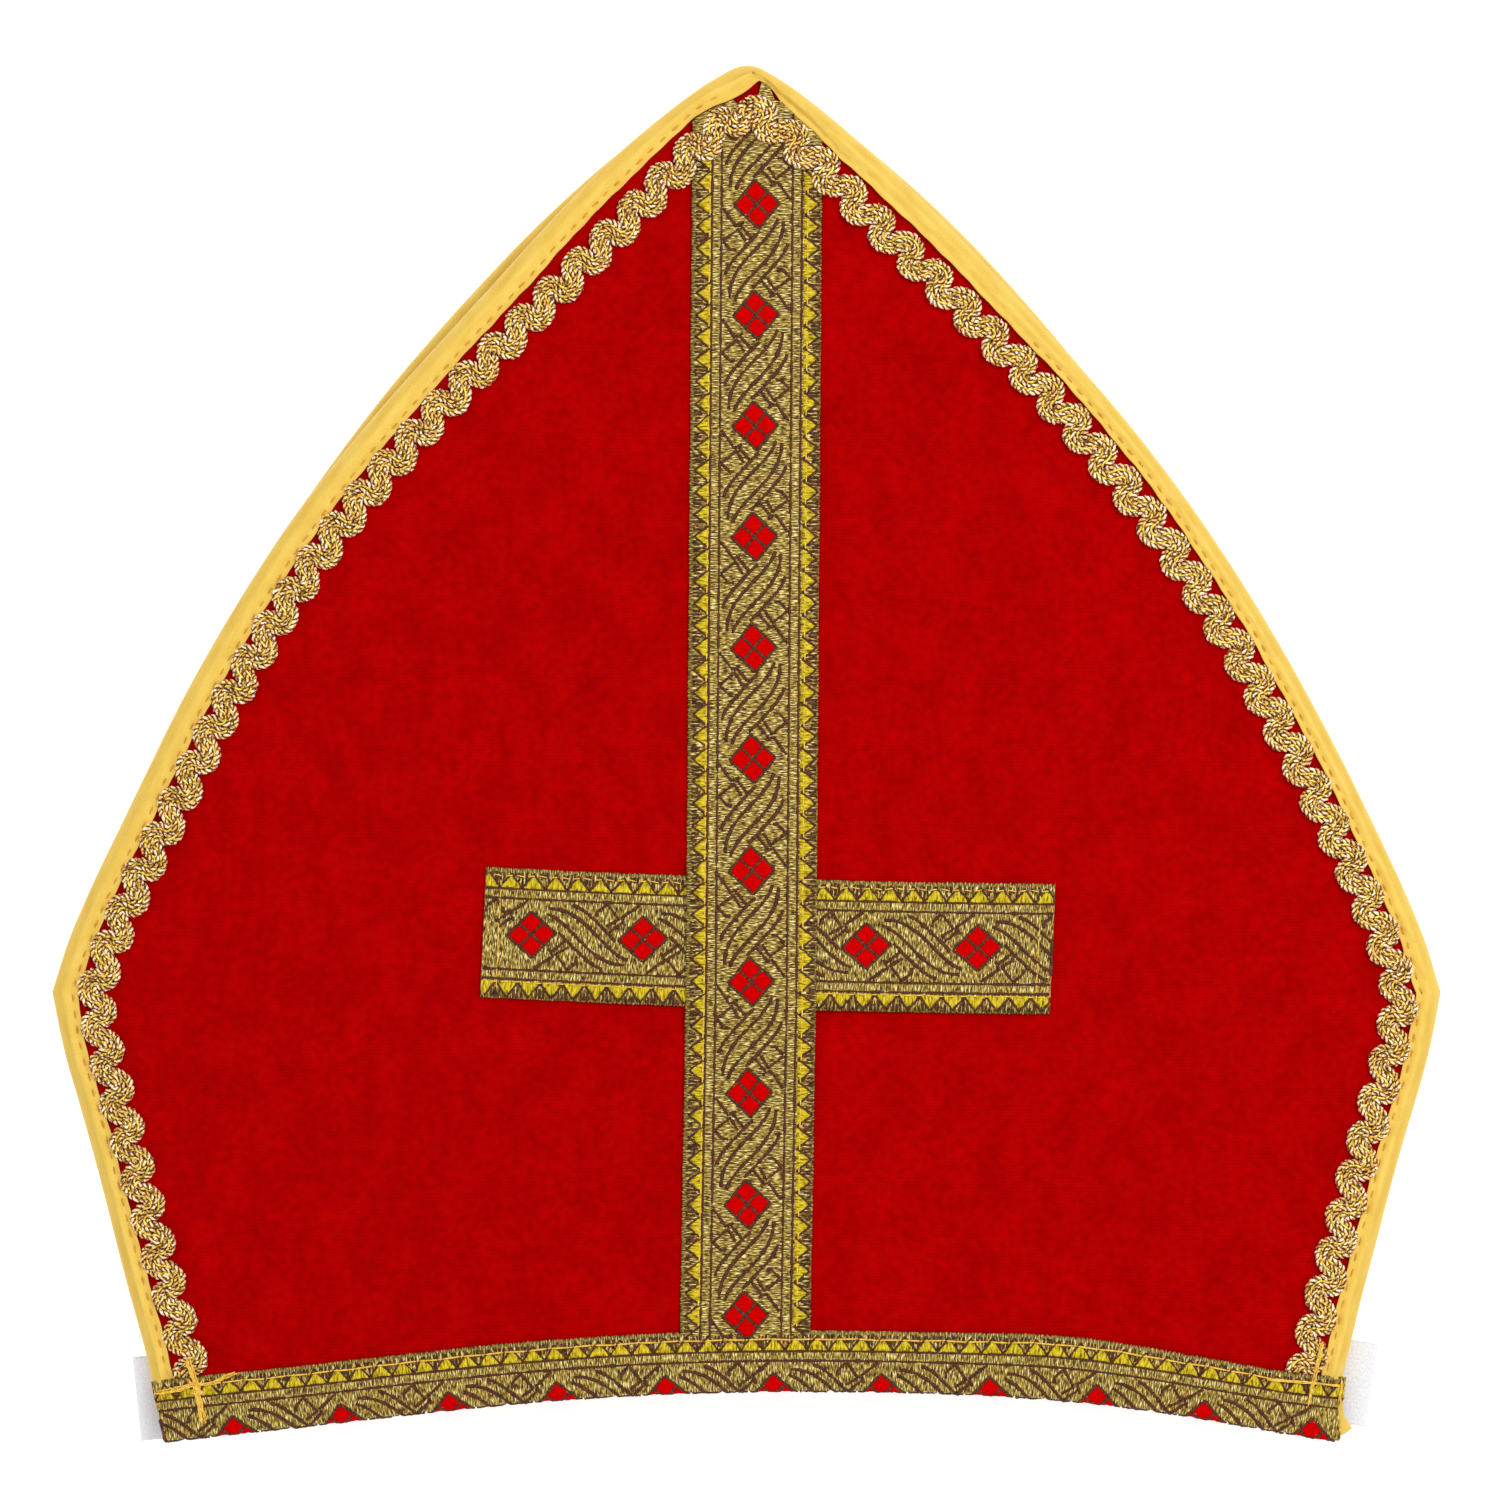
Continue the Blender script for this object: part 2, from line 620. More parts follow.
def binding_leg(side, at):
    """Seen width of the tape at places up each edge: widest round the left arc, and narrow at
    the apex."""
    left_at = [0, 0.85, 1.0, 1.2, 1.6, 1.9, 1.95, 1.975, 1.99, 2]
    left = np.interp(at, left_at, [5.6, 5.8, 6.3, 6.7, 7.0, 6.2, 5.4, 5.6, 4.8, 3.8])
    right_at = [0, 0.85, 1.0, 1.2, 1.5, 1.75, 1.9, 1.95, 1.975, 1.99, 2]
    right = np.interp(at, right_at, [5.6, 5.9, 6.2, 5.6, 5.5, 6.0, 6.2, 5.3, 4.9, 4.4, 3.8])
    return np.where(side < 0, left, right)


def uneven_leg(side, at, along, seed):
    """The seen width with a hand's unevenness along it."""
    return binding_leg(side, at) + 0.22 * wander(along, seed)


STITCH_LINE = 1.35  # the stitches' distance from the tape's inner side
STITCH_PITCH = 4.0
STITCH_HALF = 1.25
TAPE_RISE = HEM_LEG - 0.6  # height above the hem where the tape starts
FRONT_SEED = 11
REAR_SEED = 12
LEG_SHARE = [1, 0.96, 0.91, 0.86, 0.81, 0.76, 0.70, 0.64, 0.58, 0.51, 0.44]
FOLD_STEPS = 9
TAPE_STEP = 0.8
TAPE_BULGE = 0.42
CREASE_DEPTH = 0.16
GROOVE_DEPTH = 0.30  # of a long groove up the left arc
EDGE_RUN = stations(TAPE_STEP)[2][-1]
print("the edge is", round(EDGE_RUN), "mm from foot to foot")


# %% Bindings
def apex_tug(along, inset):
    """The tape's inner corner at the apex was pulled to the right: a bell-shaped shift in x
    that grows with the distance from the edge."""
    return 2.9 * bell(along, EDGE_RUN / 2, 7.0) * inset / 3.8


def binding(name, face, fuller, seed):
    """The tape's profile is an outer and an inner line, each from the inner side of the face
    leg, round the fold, to the inner side of the back leg, and it is carried along every
    station. The height of a leg is the tape's, plus a bulge, less the dimples of the
    stitches and a groove, plus small creases."""
    side, at, along = (values[:, None] for values in stations(TAPE_STEP))
    leg = uneven_leg(side, at, along, seed)
    fold = np.linspace(0, np.pi, FOLD_STEPS)
    folded = slice(len(LEG_SHARE), len(LEG_SHARE) + FOLD_STEPS)
    fold_inset = 2.1 * (1 - np.sin(fold)) + 0.12
    legs = leg * np.array(LEG_SHARE)
    turned = np.broadcast_to(fold_inset, (len(along), FOLD_STEPS))
    inset = np.concatenate([legs, turned, legs[:, ::-1]], 1)
    face_leg = np.ones(len(LEG_SHARE))
    sign = np.concatenate([face_leg, np.zeros(FOLD_STEPS), -face_leg])[None]
    from_line = leg - STITCH_LINE - inset
    pulse = bell((along / STITCH_PITCH) % 1, 0.5, 0.26)
    dimple = bell(from_line, 0, 0.55) * (0.16 + 0.30 * pulse)
    bulge = TAPE_BULGE * np.sin(np.pi * np.clip(inset / (leg - STITCH_LINE), 0, 1)) ** 1.5
    crease = CREASE_DEPTH * wander(along + 3 * inset, seed + 1, (3.3, 5.0, 9.0, 14.0))
    groove = GROOVE_DEPTH * bell(inset, 2.7, 0.45) * smoothstep(at, 1.05, 1.3)
    groove = groove * (1 - smoothstep(at, 1.75, 1.85)) * (side < 0)
    heights = sign * (TRIM_OUTER + bulge - dimple - groove + crease)
    heights[:, folded] = TRIM_OUTER * np.cos(fold)
    pressed = 1.0 - smoothstep(at, 0.004, 0.032)  # under the hem's braid
    heights = heights - np.where(sign > 0, pressed, 0)
    # Right of the apex the tape's turned-in side lies as a pleat on its face.
    pleat = smoothstep(at, 1.83, 1.90) * (side > 0) * (face == "front")
    fold_line = np.interp(at, [1.80, 1.90, 1.945, 1.985, 2.0], [0.1, 1.1, 2.0, 1.6, 0.4])
    strip = smoothstep(leg - inset - fold_line, -0.12, 0.35)
    heights = heights + np.where(sign > 0, pleat * (strip * 0.6 - 0.15), 0)
    inner_inset = np.maximum(inset, 0.95)
    inner = np.where(sign == 0, 0.65 * heights, sign * TRIM_INNER)
    more = fuller(side, at)
    outer_x, outer_y = edge_place(side, at, inset, TAPE_RISE, more)
    inner_x, inner_y = edge_place(side, at, inner_inset, TAPE_RISE, more)
    if face == "front":
        outer_x = outer_x + apex_tug(along, inset)
        inner_x = inner_x + apex_tug(along, inner_inset)
    else:
        heights = np.clip(heights, -TRIM_OUTER, None)
    points, faces, _ = slab(
        lay(outer_x, outer_y, heights, face), lay(inner_x, inner_y, inner, face)
    )
    usual = 200  # a station up the left side, whose profile gives the UV its width
    steps = np.hypot(np.diff(inset[usual]), np.diff(heights[usual]))
    width = np.concatenate([[0], np.cumsum(steps)])
    return piece(name, points, [faces], [tape], uv=slab_uv(width[None], along))


def binding_stitches(name):
    """Short threads that dip into the front tape at both ends, one to each dimple. Past the
    apex, on the right, the tape's fold hides them."""
    side, at, along = stations(0.25)
    starts = np.arange(STITCH_PITCH * 1.5, along[-1], STITCH_PITCH)
    share = np.linspace(-1, 1, 7)
    places = starts[:, None] + share * STITCH_HALF
    at_there = np.interp(places, along, at)
    side_there = np.where(places < along[-1] / 2, -1.0, 1.0)
    leg = uneven_leg(side_there, at_there, places, FRONT_SEED)
    x, y = edge_place(side_there, at_there, leg - STITCH_LINE, TAPE_RISE)
    dip = TRIM_OUTER - 0.22 - 0.30 * share**4
    hidden = (side_there > 0) & (at_there > 1.66)
    paths = lay(x, y, dip)[~hidden.any(1)]
    points, faces, uv, _ = cords(paths, 0.16, sides=5)
    return piece(name, points, faces, [seam_thread], uv=uv)


front_tape = binding("front_binding_tape", "front", no_fullness, FRONT_SEED)
rear_tape = binding("rear_binding_tape", "rear", rear_fullness, REAR_SEED)
front_stitches = binding_stitches("front_binding_stitches")
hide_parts("front_binding")
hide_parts("rear_binding")

# %% [markdown]
# ## The galloon
# Galloon is a woven braid. This one repeats every 27.46 mm: a red diamond of four lozenges, and
# between diamonds four brown lines that sweep like a wave, with a small lozenge on each
# side. Its borders have five yellow teeth to a repeat, between brown lines. The repeat is
# drawn once, as a chart of short lines. Half of it is enough, because it looks the same
# turned upside down. The chart is then laid on every length of galloon by one function that
# takes a place across and along the braid to a place on the mitre.

# %% The chart of one repeat
REPEAT = 27.46
HALF_WIDTH = 16.0
SWEEPS = [  # lines as (across, along) from a diamond's middle
    [(5.23, 23.90), (4.21, 21.44), (2.36, 19.18), (-0.10, 16.31), (-2.97, 13.23),
     (-5.03, 10.36), (-6.05, 7.90), (-6.46, 5.85), (-6.56, 4.21)],
    [(7.69, 17.64), (6.67, 15.28), (4.82, 12.82), (2.97, 10.77), (1.13, 8.72), (-0.92, 6.67)],
]
STROKES = [
    [(1.33, 8.31), (3.90, 5.23)],
    [(2.77, 9.13), (4.41, 6.46)],
    [(4.41, 6.05), (8.31, 9.13)],
    [(5.03, 11.39), (6.26, 11.39), (8.21, 9.33)],
    [(5.03, 5.64), (6.46, 3.59), (8.31, 1.13)],
    [(3.18, 4.51), (4.82, 5.33)],
]
LOZENGE_ROWS = 9
LOZENGE_UP = np.array([2.57, 3.18])  # the two ways across one of a diamond's four parts
LOZENGE_OVER = np.array([-3.08, 2.87])
LOZENGE_HALF = 0.466  # how far a lozenge fills its part, either way: 0.5 would leave no gap
half_tips = np.array([LOZENGE_UP + LOZENGE_OVER, LOZENGE_UP - LOZENGE_OVER])
DIAMOND_TIPS = np.concatenate([half_tips, -half_tips])
BORDER_LINES = [-11.0, -8.65, 8.85, 11.2]
TOOTH_PITCH = REPEAT / 5
TOOTH_ROOT = {-1: -10.95, 1: 11.65}
TOOTH_FLANK = 2.75  # half of a tooth's width along the braid, with its dark yarn
TOOTH_ROWS = 10
TOOTH_STEPS = 4


def resampled(line, count):
    """A line through a few points, as `count` points at even lengths on a smooth curve."""
    line = np.array(line, float)
    run = np.concatenate([[0], np.cumsum(np.hypot(*np.diff(line, axis=0).T))])
    even = np.linspace(0, run[-1], count)
    if len(line) > 3:
        smooth = [np.polyval(np.polyfit(run, line[:, k], 4), even) for k in (0, 1)]
        return np.stack(smooth, 1)
    return np.stack([np.interp(even, run, line[:, k]) for k in (0, 1)], 1)


def both_ways(lines, count):
    """The lines, and the same lines turned half round the middle of the repeat."""
    drawn = np.array([resampled(line, count) for line in lines])
    return np.concatenate([drawn, np.array([0, REPEAT]) - drawn])


sweeps = both_ways(SWEEPS, 30)
strokes = both_ways(STROKES, 8)
outline = list(zip(DIAMOND_TIPS, np.roll(DIAMOND_TIPS, -1, 0)))
cross = [(LOZENGE_UP, -LOZENGE_UP), (LOZENGE_OVER, -LOZENGE_OVER)]
straight = np.array([resampled(line, 12) for line in outline + cross])
print("the chart has", len(sweeps), "sweeps,", len(strokes), "strokes and", len(straight), "lines")

# %% [markdown]
# The ground of the galloon is metal thread over cotton: fine crosswise glints of pale gold,
# olive and brown. Its texture reads the braid's own across and along, so the glints run
# across the braid on every length. The selvedges are darker: little gold reaches them.

# %% The galloon's finishes
ground, shader = finish("galloon_ground", Metallic=0.25, Roughness=0.42, Specular_IOR_Level=0.4)
glints = texture_at(ground, "UV", (0.34, 1.75, 1.0), 1900, 3)
tone = texture_at(ground, "UV", EVEN, 350, 3)
gold = ramp(
    ground, glints,
    [(0.36, (0.012, 0.005, 0.001)), (0.44, (0.120, 0.060, 0.006)),
     (0.50, (0.30, 0.180, 0.015)), (0.58, (0.62, 0.45, 0.066)), (0.66, (1.0, 0.93, 0.50))],
)
tone_shade = ramp(ground, tone, [(0.3, (0.86, 0.88, 0.80)), (0.7, (1.12, 1.10, 1.10))])
width_share = node(
    ground, "MapRange",
    {"Value": uv_across(ground), "From Min": -HALF_WIDTH * MM, "From Max": HALF_WIDTH * MM},
).outputs[0]
SELVEDGE = (0.66, 0.65, 0.52)
selvedge_shade = ramp(
    ground, width_share,
    [(0.0, SELVEDGE), (0.022, SELVEDGE), (0.045, (1, 1, 1)), (0.955, (1, 1, 1)),
     (0.978, SELVEDGE)],
)
coloured(ground, shader, shaded(ground, gold, tone_shade, selvedge_shade))
bumped(ground, shader, glints, 0.00025, 0.8)

brown = plain_finish(
    "galloon_brown", ("UV", (0.34, 1.75, 1.0), 2100, 3),
    [(0.36, (0.026, 0.005, 0.001)), (0.52, (0.088, 0.020, 0.004)),
     (0.68, (0.165, 0.048, 0.010))],
    distance=0.0002, strength=0.8, Roughness=0.6, Specular_IOR_Level=0.3,
)
scarlet = plain_finish(
    "galloon_red", ("UV", (0.3, 1.0, 1.0), 2200, 2),
    [(0.3, (0.46, 0.0003, 0.0005)), (0.7, (0.68, 0.0008, 0.0012))],
    distance=0.0001, strength=0.5, Roughness=0.7, Specular_IOR_Level=0.0,
)
yellow = plain_finish(
    "galloon_yellow", ("UV", (0.25, 1.0, 1.0), 2200, 2),
    [(0.34, (0.15, 0.085, 0.002)), (0.46, (0.50, 0.36, 0.005)),
     (0.66, (0.84, 0.66, 0.035))],
    distance=0.0002, strength=0.6, Roughness=0.6, Specular_IOR_Level=0.1,
)


# %% Where each length of galloon runs
UPRIGHT_MIDDLE = 0.8
UPRIGHT_LEAN = 0.009
UPRIGHT_EASE = 0.0034
TOP_DIAMOND = 140  # below it, the upright's braid was eased in
BAR_CLIMB = 1.1  # how much higher the upright lies over the bar
BAR_SLANT = 0.047
BAR = {"left": -65.0, "right": 75.2, "y": -46.75, "slope": -0.0315, "curve": 0.00015}
HEM_STRETCH = 1.027
CREASE = 0.8  # radius of the hem fold's two corners
HEM_TURNED = 0.4  # how much further than its half the braid was turned over the hem


def on_upright(across, along, lift):
    """Up the middle: x leans and sways a little as y grows, the braid was eased in by a small
    share below the top diamond, and it climbs over the bar."""
    y = along + UPRIGHT_EASE * np.clip(TOP_DIAMOND - along, 0, None)
    over = 1 - smoothstep(np.abs(y - BAR["y"]), 18, 22)
    sway = np.interp(y, [-140, -60, 143], [0.0, 0.65, 0.35])
    x = UPRIGHT_MIDDLE + UPRIGHT_LEAN * y + sway + across
    return lay(x, y, TRIM_OUTER + BAR_CLIMB * over + lift)


def on_bar(across, along, lift):
    """Along x, with the braid's across pointing down, on a gently falling line. Its cross
    threads slant a little."""
    middle = BAR["y"] + BAR["slope"] * along + BAR["curve"] * along**2
    return lay(along - across * BAR_SLANT, middle - across, TRIM_OUTER + lift)


def on_hem(across, along, lift, face="front"):
    """Round the hem: down the face leg, round a quarter turn, along the hem's thickness, round
    a second quarter turn and up the back leg. The lift goes out along the normal, which has
    turned by t1 + t2. The braid stays square to the hem's slope, and here and there the front
    was folded with a little more showing."""
    run = across + HALF_WIDTH - HEM_TURNED
    straight, wall = HEM_LEG - CREASE, 2 * (TRIM_OUTER - CREASE)
    past = run - straight
    first = np.clip(past / CREASE, 0, np.pi / 2)
    down = np.clip(past - CREASE * np.pi / 2, 0, wall)
    second = np.clip((past - wall) / CREASE - np.pi / 2, 0, np.pi / 2)
    up = np.clip(past - wall - CREASE * np.pi, 0, None)
    turn = first + second
    rise = HEM_LEG - np.minimum(run, straight) - CREASE * np.sin(first)
    rise = rise + CREASE * (1 - np.cos(second)) + up - lift * np.sin(turn)
    height = TRIM_OUTER - CREASE + CREASE * np.cos(first) - down
    height = height - CREASE * np.sin(second) + lift * np.cos(turn)
    x = along / HEM_STRETCH
    wider = bell(x, 78, 20) + 1.1 * smoothstep(x, 130, 147)
    more = (wider + 0.3 * smoothstep(-x, 110, 130)) * np.clip(1 - run / HEM_LEG, 0, 1)
    slope = (hem_line(x + 2, 0) - hem_line(x - 2, 0)) / 4
    aside = (rise - HEM_LEG / 2) / np.hypot(1, slope)
    x, y = x - slope * aside, hem_line(x, HEM_LEG / 2) + aside
    if face == "rear":
        return lay(x, y, -height, face)
    return lay(x, y + more, height, face)


def on_rear_hem(across, along, lift):
    """The rear hem's braid."""
    return on_hem(across, along, lift, "rear")


print("bar's left end", on_bar(np.array(0.0), np.array(BAR["left"]), 0.0))

# %% [markdown]
# A length of galloon is a closed ribbon 0.8 mm thick with a toothed selvedge, and on it the
# chart: brown lines as flat cords, lozenges as small pillows, and teeth whose rows of yarn end at
# uneven lengths. They stand a tenth or two above the ground, as thick yarn in a braid does.


# %% One length of galloon
BRAID_BACK = 0.75
PICOT_PITCH = 1.1
WEAVE_PITCH = 0.9


def ribbon(name, carry, start, end, stands_for, top, bottom):
    """The ground: a grid across and along, its face at no lift, less where it thins towards
    the selvedge, and its back BRAID_BACK below. `top` and `bottom` give how far past its
    ends it runs at each place across."""
    across = np.concatenate([[-16, -15.6], np.linspace(-15, 15, 31), [15.6, 16]])[None]
    count = int((end - start) / 0.55)
    share = np.linspace(0, 1, count)[:, None]
    low, high = start + bottom(across), end + top(across)
    along = low + (high - low) * share
    picot = 0.18 * np.sin(2 * np.pi * along / PICOT_PITCH) + 0.10 * wander(along, 3)
    wide = across + np.sign(across) * picot * (np.abs(across) > 15.8)
    edge = smoothstep(np.abs(across), 15.0, 16.0)
    weave = 0.05 * np.sin(2 * np.pi * along / WEAVE_PITCH + across) - 0.35 * edge
    points, faces, _ = slab(carry(wide, along, weave), carry(wide, along, -BRAID_BACK))
    made = piece(name, points, [faces], [ground], uv=slab_uv(across, along))
    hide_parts(stands_for)
    return made


# %% Cutting the chart to a length
CUT_MARGIN = 0.15


def cut_to(places, start, end, top, bottom):
    """The lines or patches whose middle lies between the braid's ends, cut off where the
    braid is. Places are (across, along), and the top may run on by up to 6 mm."""
    across, along = places[..., 0], places[..., 1]
    low = start + np.maximum(bottom(across), 0) + CUT_MARGIN
    high = end + np.minimum(top(across), 6) - CUT_MARGIN
    inner = tuple(range(1, along.ndim))
    keep = ((along - low).mean(inner) > 0.2) & ((high - along).mean(inner) > 0.2)
    return np.stack([across, np.clip(along, low, high)], -1)[keep]


def level(across):
    """A square-cut end."""
    return 0 * across


LINE_FLATNESS = 0.42


def on_braid(carry, places, lift, radius, sides=6):
    """Flat cords along lines of (across, along), which are also what their texture reads."""
    laid = carry(places[..., 0], places[..., 1], lift)
    points, faces, _, twist = cords(laid, radius, sides, LINE_FLATNESS)
    uv = np.broadcast_to(places[:, :, None] * MM, (*places.shape[:2], sides, 2))
    return points, faces, uv, twist


def tooth_numbers(start, end, phase):
    """Which teeth fit between two ends: whole numbers of tooth pitches from the phase."""
    return np.arange(np.ceil((start - phase) / TOOTH_PITCH), (end - phase) / TOOTH_PITCH)


def repeat_shifts(start, end, phase):
    """The shift (across, along) of every repeat that may reach into a length."""
    repeats = np.arange(np.floor((start - phase) / REPEAT) - 1, (end - phase) / REPEAT + 1)
    return np.stack([0 * repeats, phase + repeats * REPEAT], 1)


def tooth_shadows(start, end, phase):
    """Dark yarn round the teeth: a slant down each flank, and bars between the teeth that
    run out towards the selvedge."""
    middle = (phase + tooth_numbers(start, end, phase) * TOOTH_PITCH)[:, None]
    share = np.linspace(0, 1, 4)
    lines = []
    for border in (-1, 1):
        root = TOOTH_ROOT[border]
        for flank in (-1, 1):
            out = root + border * (3.9 - 3.6 * share)
            along = middle + flank * TOOTH_FLANK * share
            lines.append(np.stack(np.broadcast_arrays(out, along), -1))
        for shift in (0.5, 0.34, 0.66):
            reach = chance.uniform(1.0, 3.4, middle.shape)
            out = root + border * (4.1 - reach * share)
            lines.append(np.stack(np.broadcast_arrays(out, middle + TOOTH_PITCH * shift), -1))
    places = np.concatenate(lines)
    return places + 0.09 * chance.standard_normal(places.shape)


# %% The brown lines
LINE_RADII = ((sweeps, 0.41), (strokes, 0.37), (straight, 0.34))
FRAY = 0.045
UNEVENNESS = 0.18


def chart_lines(name, carry, start, end, phase, top, bottom):
    """Every brown line that fits on this length: sweeps, strokes, the outline and cross of
    each diamond, border lines, and the dark yarn round the teeth. Their radii are uneven
    and their paths a little frayed, at random."""
    shift = repeat_shifts(start, end, phase)[:, None, None]
    meshes = []
    for lines, thick in LINE_RADII:
        places = (lines[None] + shift).reshape(-1, lines.shape[1], 2)
        places = cut_to(places, start, end, top, bottom)
        frayed = places + FRAY * chance.standard_normal(places.shape)
        uneven = thick * (1 + UNEVENNESS * chance.standard_normal(places.shape[:2]))
        meshes.append(on_braid(carry, frayed, 0.07, uneven))
    across = np.array(BORDER_LINES)[:, None]
    low, high = start + bottom(across) + 0.2, end + top(across) - 0.2
    along = low + (high - low) * np.linspace(0, 1, int((end - start) / 0.9))
    jog = 0.08 * wander(along + across * 9, 5, (1.9, 3.1, 6.0))
    uneven = 0.30 * (1 + 0.25 * chance.standard_normal(along.shape))
    meshes.append(on_braid(carry, np.stack([across + jog, along], -1), 0.05, uneven, 5))
    shadows = cut_to(tooth_shadows(start, end, phase), start, end, top, bottom)
    uneven = chance.uniform(0.18, 0.36, shadows.shape[:2])
    meshes.append(on_braid(carry, shadows, 0.08, uneven))
    return joined(name, meshes, brown)


# %% Lozenges and teeth
PILLOW_CROWN = 0.16
PILLOW_SINK = 0.25


def pillows(places, carry):
    """Closed pillows on patches of shape (patch, rows, columns, 2). The face is lifted by
    PILLOW_CROWN times the square root of (1 - a^4) * (1 - b^4), where a and b run from -1
    to 1 over the patch, and the back is sunk into the braid."""
    count, rows, columns = places.shape[:3]
    a = np.linspace(-1, 1, rows)[:, None]
    b = np.linspace(-1, 1, columns)[None]
    lift = PILLOW_CROWN * ((1 - a**4) * (1 - b**4)) ** 0.5
    face = carry(places[..., 0], places[..., 1], lift)
    back = carry(places[..., 0], places[..., 1], -PILLOW_SINK)
    _, one, _ = slab(face[0], back[0])
    points = np.stack([face.reshape(count, -1, 3), back.reshape(count, -1, 3)], 1)
    offset = np.arange(count)[:, None, None] * 2 * rows * columns
    faces = (one[None] + offset).reshape(-1, 4)
    flat = places.reshape(count, 1, -1, 2) * MM
    uv = np.concatenate([flat, flat], 1)
    return points.reshape(-1, 3), [faces], uv.reshape(-1, 2), None


def lozenges(name, carry, start, end, phase, top, bottom):
    """Four red pillows to each diamond."""
    share = np.linspace(-LOZENGE_HALF, LOZENGE_HALF, LOZENGE_ROWS)
    one = share[:, None, None] * LOZENGE_UP + share[None, :, None] * LOZENGE_OVER
    middles = DIAMOND_TIPS[None, :, None, None] / 2
    shift = repeat_shifts(start, end, phase)[:, None, None, None]
    places = (one + middles + shift).reshape(-1, LOZENGE_ROWS, LOZENGE_ROWS, 2)
    places = cut_to(places, start, end, top, bottom)
    points, faces, uv, _ = pillows(places, carry)
    return piece(name, points, faces, [scarlet], uv=uv)


def teeth(name, carry, start, end, phase, top, bottom):
    """Yellow teeth along both borders. Each row of yarn is a step along the braid, and its
    length outwards falls away from the tooth's middle, with a random last stitch."""
    numbers = tooth_numbers(start, end, phase)
    rows = np.linspace(-1, 1, TOOTH_ROWS)
    reach = 0.5 + 2.9 * np.clip(1.08 - np.abs(rows), 0, 1) ** 0.9
    sides = np.array([-1.0, 1.0])
    ragged = chance.uniform(-0.75, 0.65, (2, len(numbers), len(rows)))
    length = reach + ragged
    root = np.array([-TOOTH_ROOT[-1], TOOTH_ROOT[1]])[:, None, None]
    out = np.linspace(0, 1, TOOTH_STEPS)
    across = sides[:, None, None, None] * (root[..., None] + length[..., None] * out)
    along = (phase + numbers * TOOTH_PITCH)[None, :, None, None] + rows[:, None] * 2.5
    places = np.stack(np.broadcast_arrays(across, along), -1)
    places = places.reshape(-1, TOOTH_ROWS, TOOTH_STEPS, 2)
    places = cut_to(places, start, end, top, bottom)
    left = places[..., 0].mean((1, 2)) < 0
    meshes = [pillows(some, carry) for some in (places[left], places[~left][:, ::-1])]
    return joined(name, meshes, yellow)


def galloon(name, carry, start, end, phase, stands_for, top=level, bottom=level):
    """One length: its ground and its chart. A diamond's middle lies at `phase`."""
    base = ribbon(name, carry, start, end, stands_for, top, bottom)
    chart = (("_lines", chart_lines), ("_lozenges", lozenges), ("_teeth", teeth))
    parts = [make(name + end_name, carry, start, end, phase, top, bottom)
             for end_name, make in chart]
    return base, parts


# %% The cross and the hems
UPRIGHT_LOW = HEM_Y + HEM_ARCH + HEM_LEG - 1.5
UPRIGHT_HIGH = 150.0
HEM_LOW = -151.4
HEM_HIGH = 151.6
HEM_PHASE = 6.75


def tape_inside(x):
    """Height of the inner side of the front tape near the apex, at each x."""
    side, at, along = (values[::4] for values in stations(0.25))
    leg = uneven_leg(side, at, along, FRONT_SEED)
    line_x, line_y = edge_place(side, at, leg, TAPE_RISE)
    line_x = line_x + apex_tug(along, leg)
    upper = at > 1.5
    return np.interp(x, line_x[upper], line_y[upper])


def upright_top(across):
    """The upright's upper end runs up to the tape's inner side, with two notches where the
    cut ends were trimmed back and the velvet shows."""
    x = UPRIGHT_MIDDLE + UPRIGHT_LEAN * 155 + across
    notch_at = [-3.0, -2.5, 2.2, 2.6, 5.6, 6.2, 7.0, 7.6]
    notch = np.interp(x, notch_at, [0.0, 4.0, 3.4, 0.0, 0.0, 2.2, 2.2, 0.0])
    return tape_inside(x) - 0.1 - notch - UPRIGHT_HIGH


def upright_bottom(across):
    """The lower end is tucked under the hem's braid, which is arched."""
    return hem_line(across, HEM_LEG - 3.0) - UPRIGHT_LOW


upright, upright_parts = galloon(
    "cross_upright_galloon", on_upright, UPRIGHT_LOW, UPRIGHT_HIGH, phase=25.5,
    stands_for="cross_upright", top=upright_top, bottom=upright_bottom,
)
bar, bar_parts = galloon(
    "cross_bar_galloon", on_bar, BAR["left"], BAR["right"], phase=1.8,
    stands_for="cross_bar",
)


def hem_left(across):
    """The left end is cut on the slant of the panel's side."""
    return 1.3 + 1.4 * smoothstep(across, -16, 0)


def hem_right(across):
    """The right end too, with a step where the binding's end comes out past it."""
    return np.interp(across, [-16, -10.6, -9.8, -2, 0], [-0.8, -0.6, -2.0, -0.2, -0.6])


front_hem, front_hem_parts = galloon(
    "front_hem_galloon_braid", on_hem, HEM_LOW, HEM_HIGH, phase=HEM_PHASE,
    stands_for="front_hem_galloon", top=hem_right, bottom=hem_left,
)
rear_hem, rear_hem_parts = galloon(
    "rear_hem_galloon_braid", on_rear_hem, HEM_LOW, HEM_HIGH, phase=HEM_PHASE,
    stands_for="rear_hem_galloon", top=hem_right, bottom=hem_left,
)

# %% [markdown]
# ## The scroll gimp
# Gimp is a braid of cords worked into scrolls. A bundle of five cords swings to and fro: half
# circles whose middles lie on one line, outwards and inwards in turn. A cord that runs on the
# outside of one half circle runs on the inside of the next, which gives the scroll its
# eyes. The thick cords are two-ply and creamy with metal, and two thin gold ones lie between.

